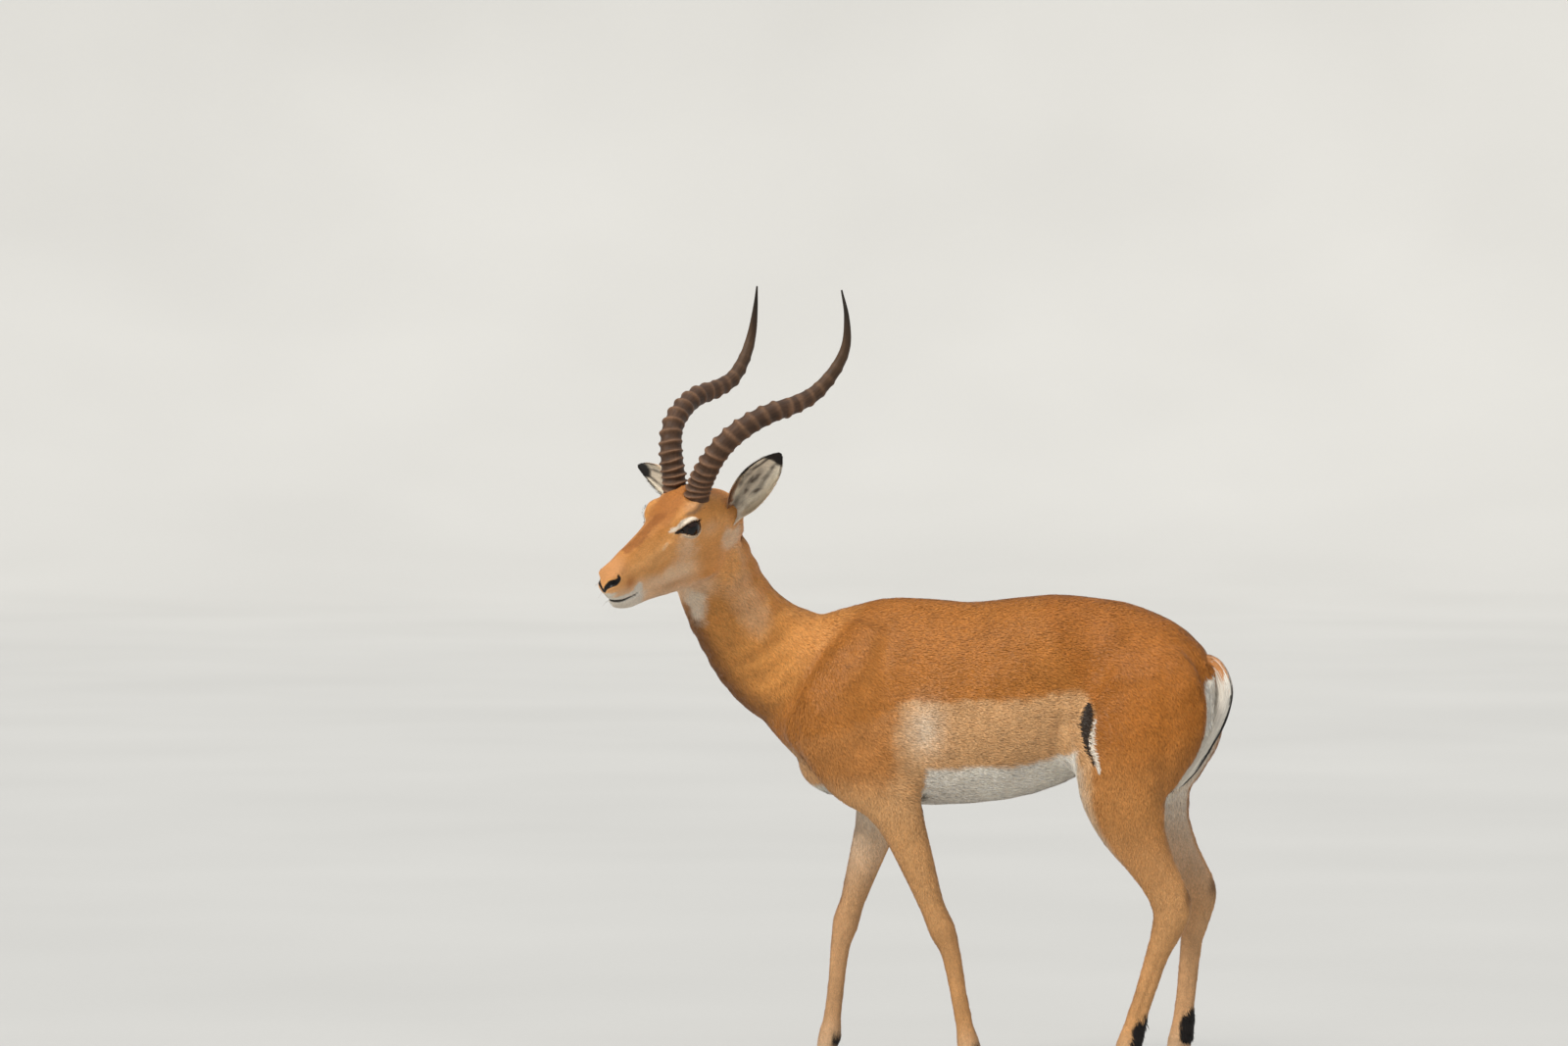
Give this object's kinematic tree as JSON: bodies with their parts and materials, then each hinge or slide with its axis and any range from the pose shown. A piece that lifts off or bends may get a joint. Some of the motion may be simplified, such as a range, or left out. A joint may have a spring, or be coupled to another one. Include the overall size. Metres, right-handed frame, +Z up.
{
  "type": "impala antelope",
  "caption": "Life-size still model of a standing impala ram with ringed lyre horns, its head turned over the left shoulder, as a museum shows one.",
  "frame": {"origin": "middle of the bounding box in plan, on the floor under the hooves", "axes": "+Z up; the ram faces -X, its left side is towards -Y"},
  "size_m": [1.0758, 0.4944, 1.4497],
  "materials": {
    "coat": "short glossy hair, rufous saddle over fawn flanks, white belly, throat, lips and eye rings, black thigh, ear-tip and heel marks",
    "tail_hair": "long white hair with a black middle line",
    "horn": "dull ringed keratin, brown at the root and grey-black at the smooth tip",
    "hoof": "smooth black keratin with faint growth lines",
    "eye": "wet dark eye"
  },
  "bodies": {
    "root": {"ear_left": "coat", "ear_right": "coat", "eye_left": "eye", "eye_right": "eye", "forehoof_left_inner": "hoof", "forehoof_left_outer": "hoof", "forehoof_right_inner": "hoof", "forehoof_right_outer": "hoof", "foreleg_left_lower": "coat", "foreleg_left_upper": "coat", "foreleg_right_lower": "coat", "foreleg_right_upper": "coat", "head": "coat", "hindhoof_left_inner": "hoof", "hindhoof_left_outer": "hoof", "hindhoof_right_inner": "hoof", "hindhoof_right_outer": "hoof", "hindleg_left_lower": "coat", "hindleg_left_upper": "coat", "hindleg_right_lower": "coat", "hindleg_right_upper": "coat", "horn_left": "horn", "horn_right": "horn", "neck": "coat", "tail": "tail_hair", "trunk": "coat"}
  },
  "joints": []
}
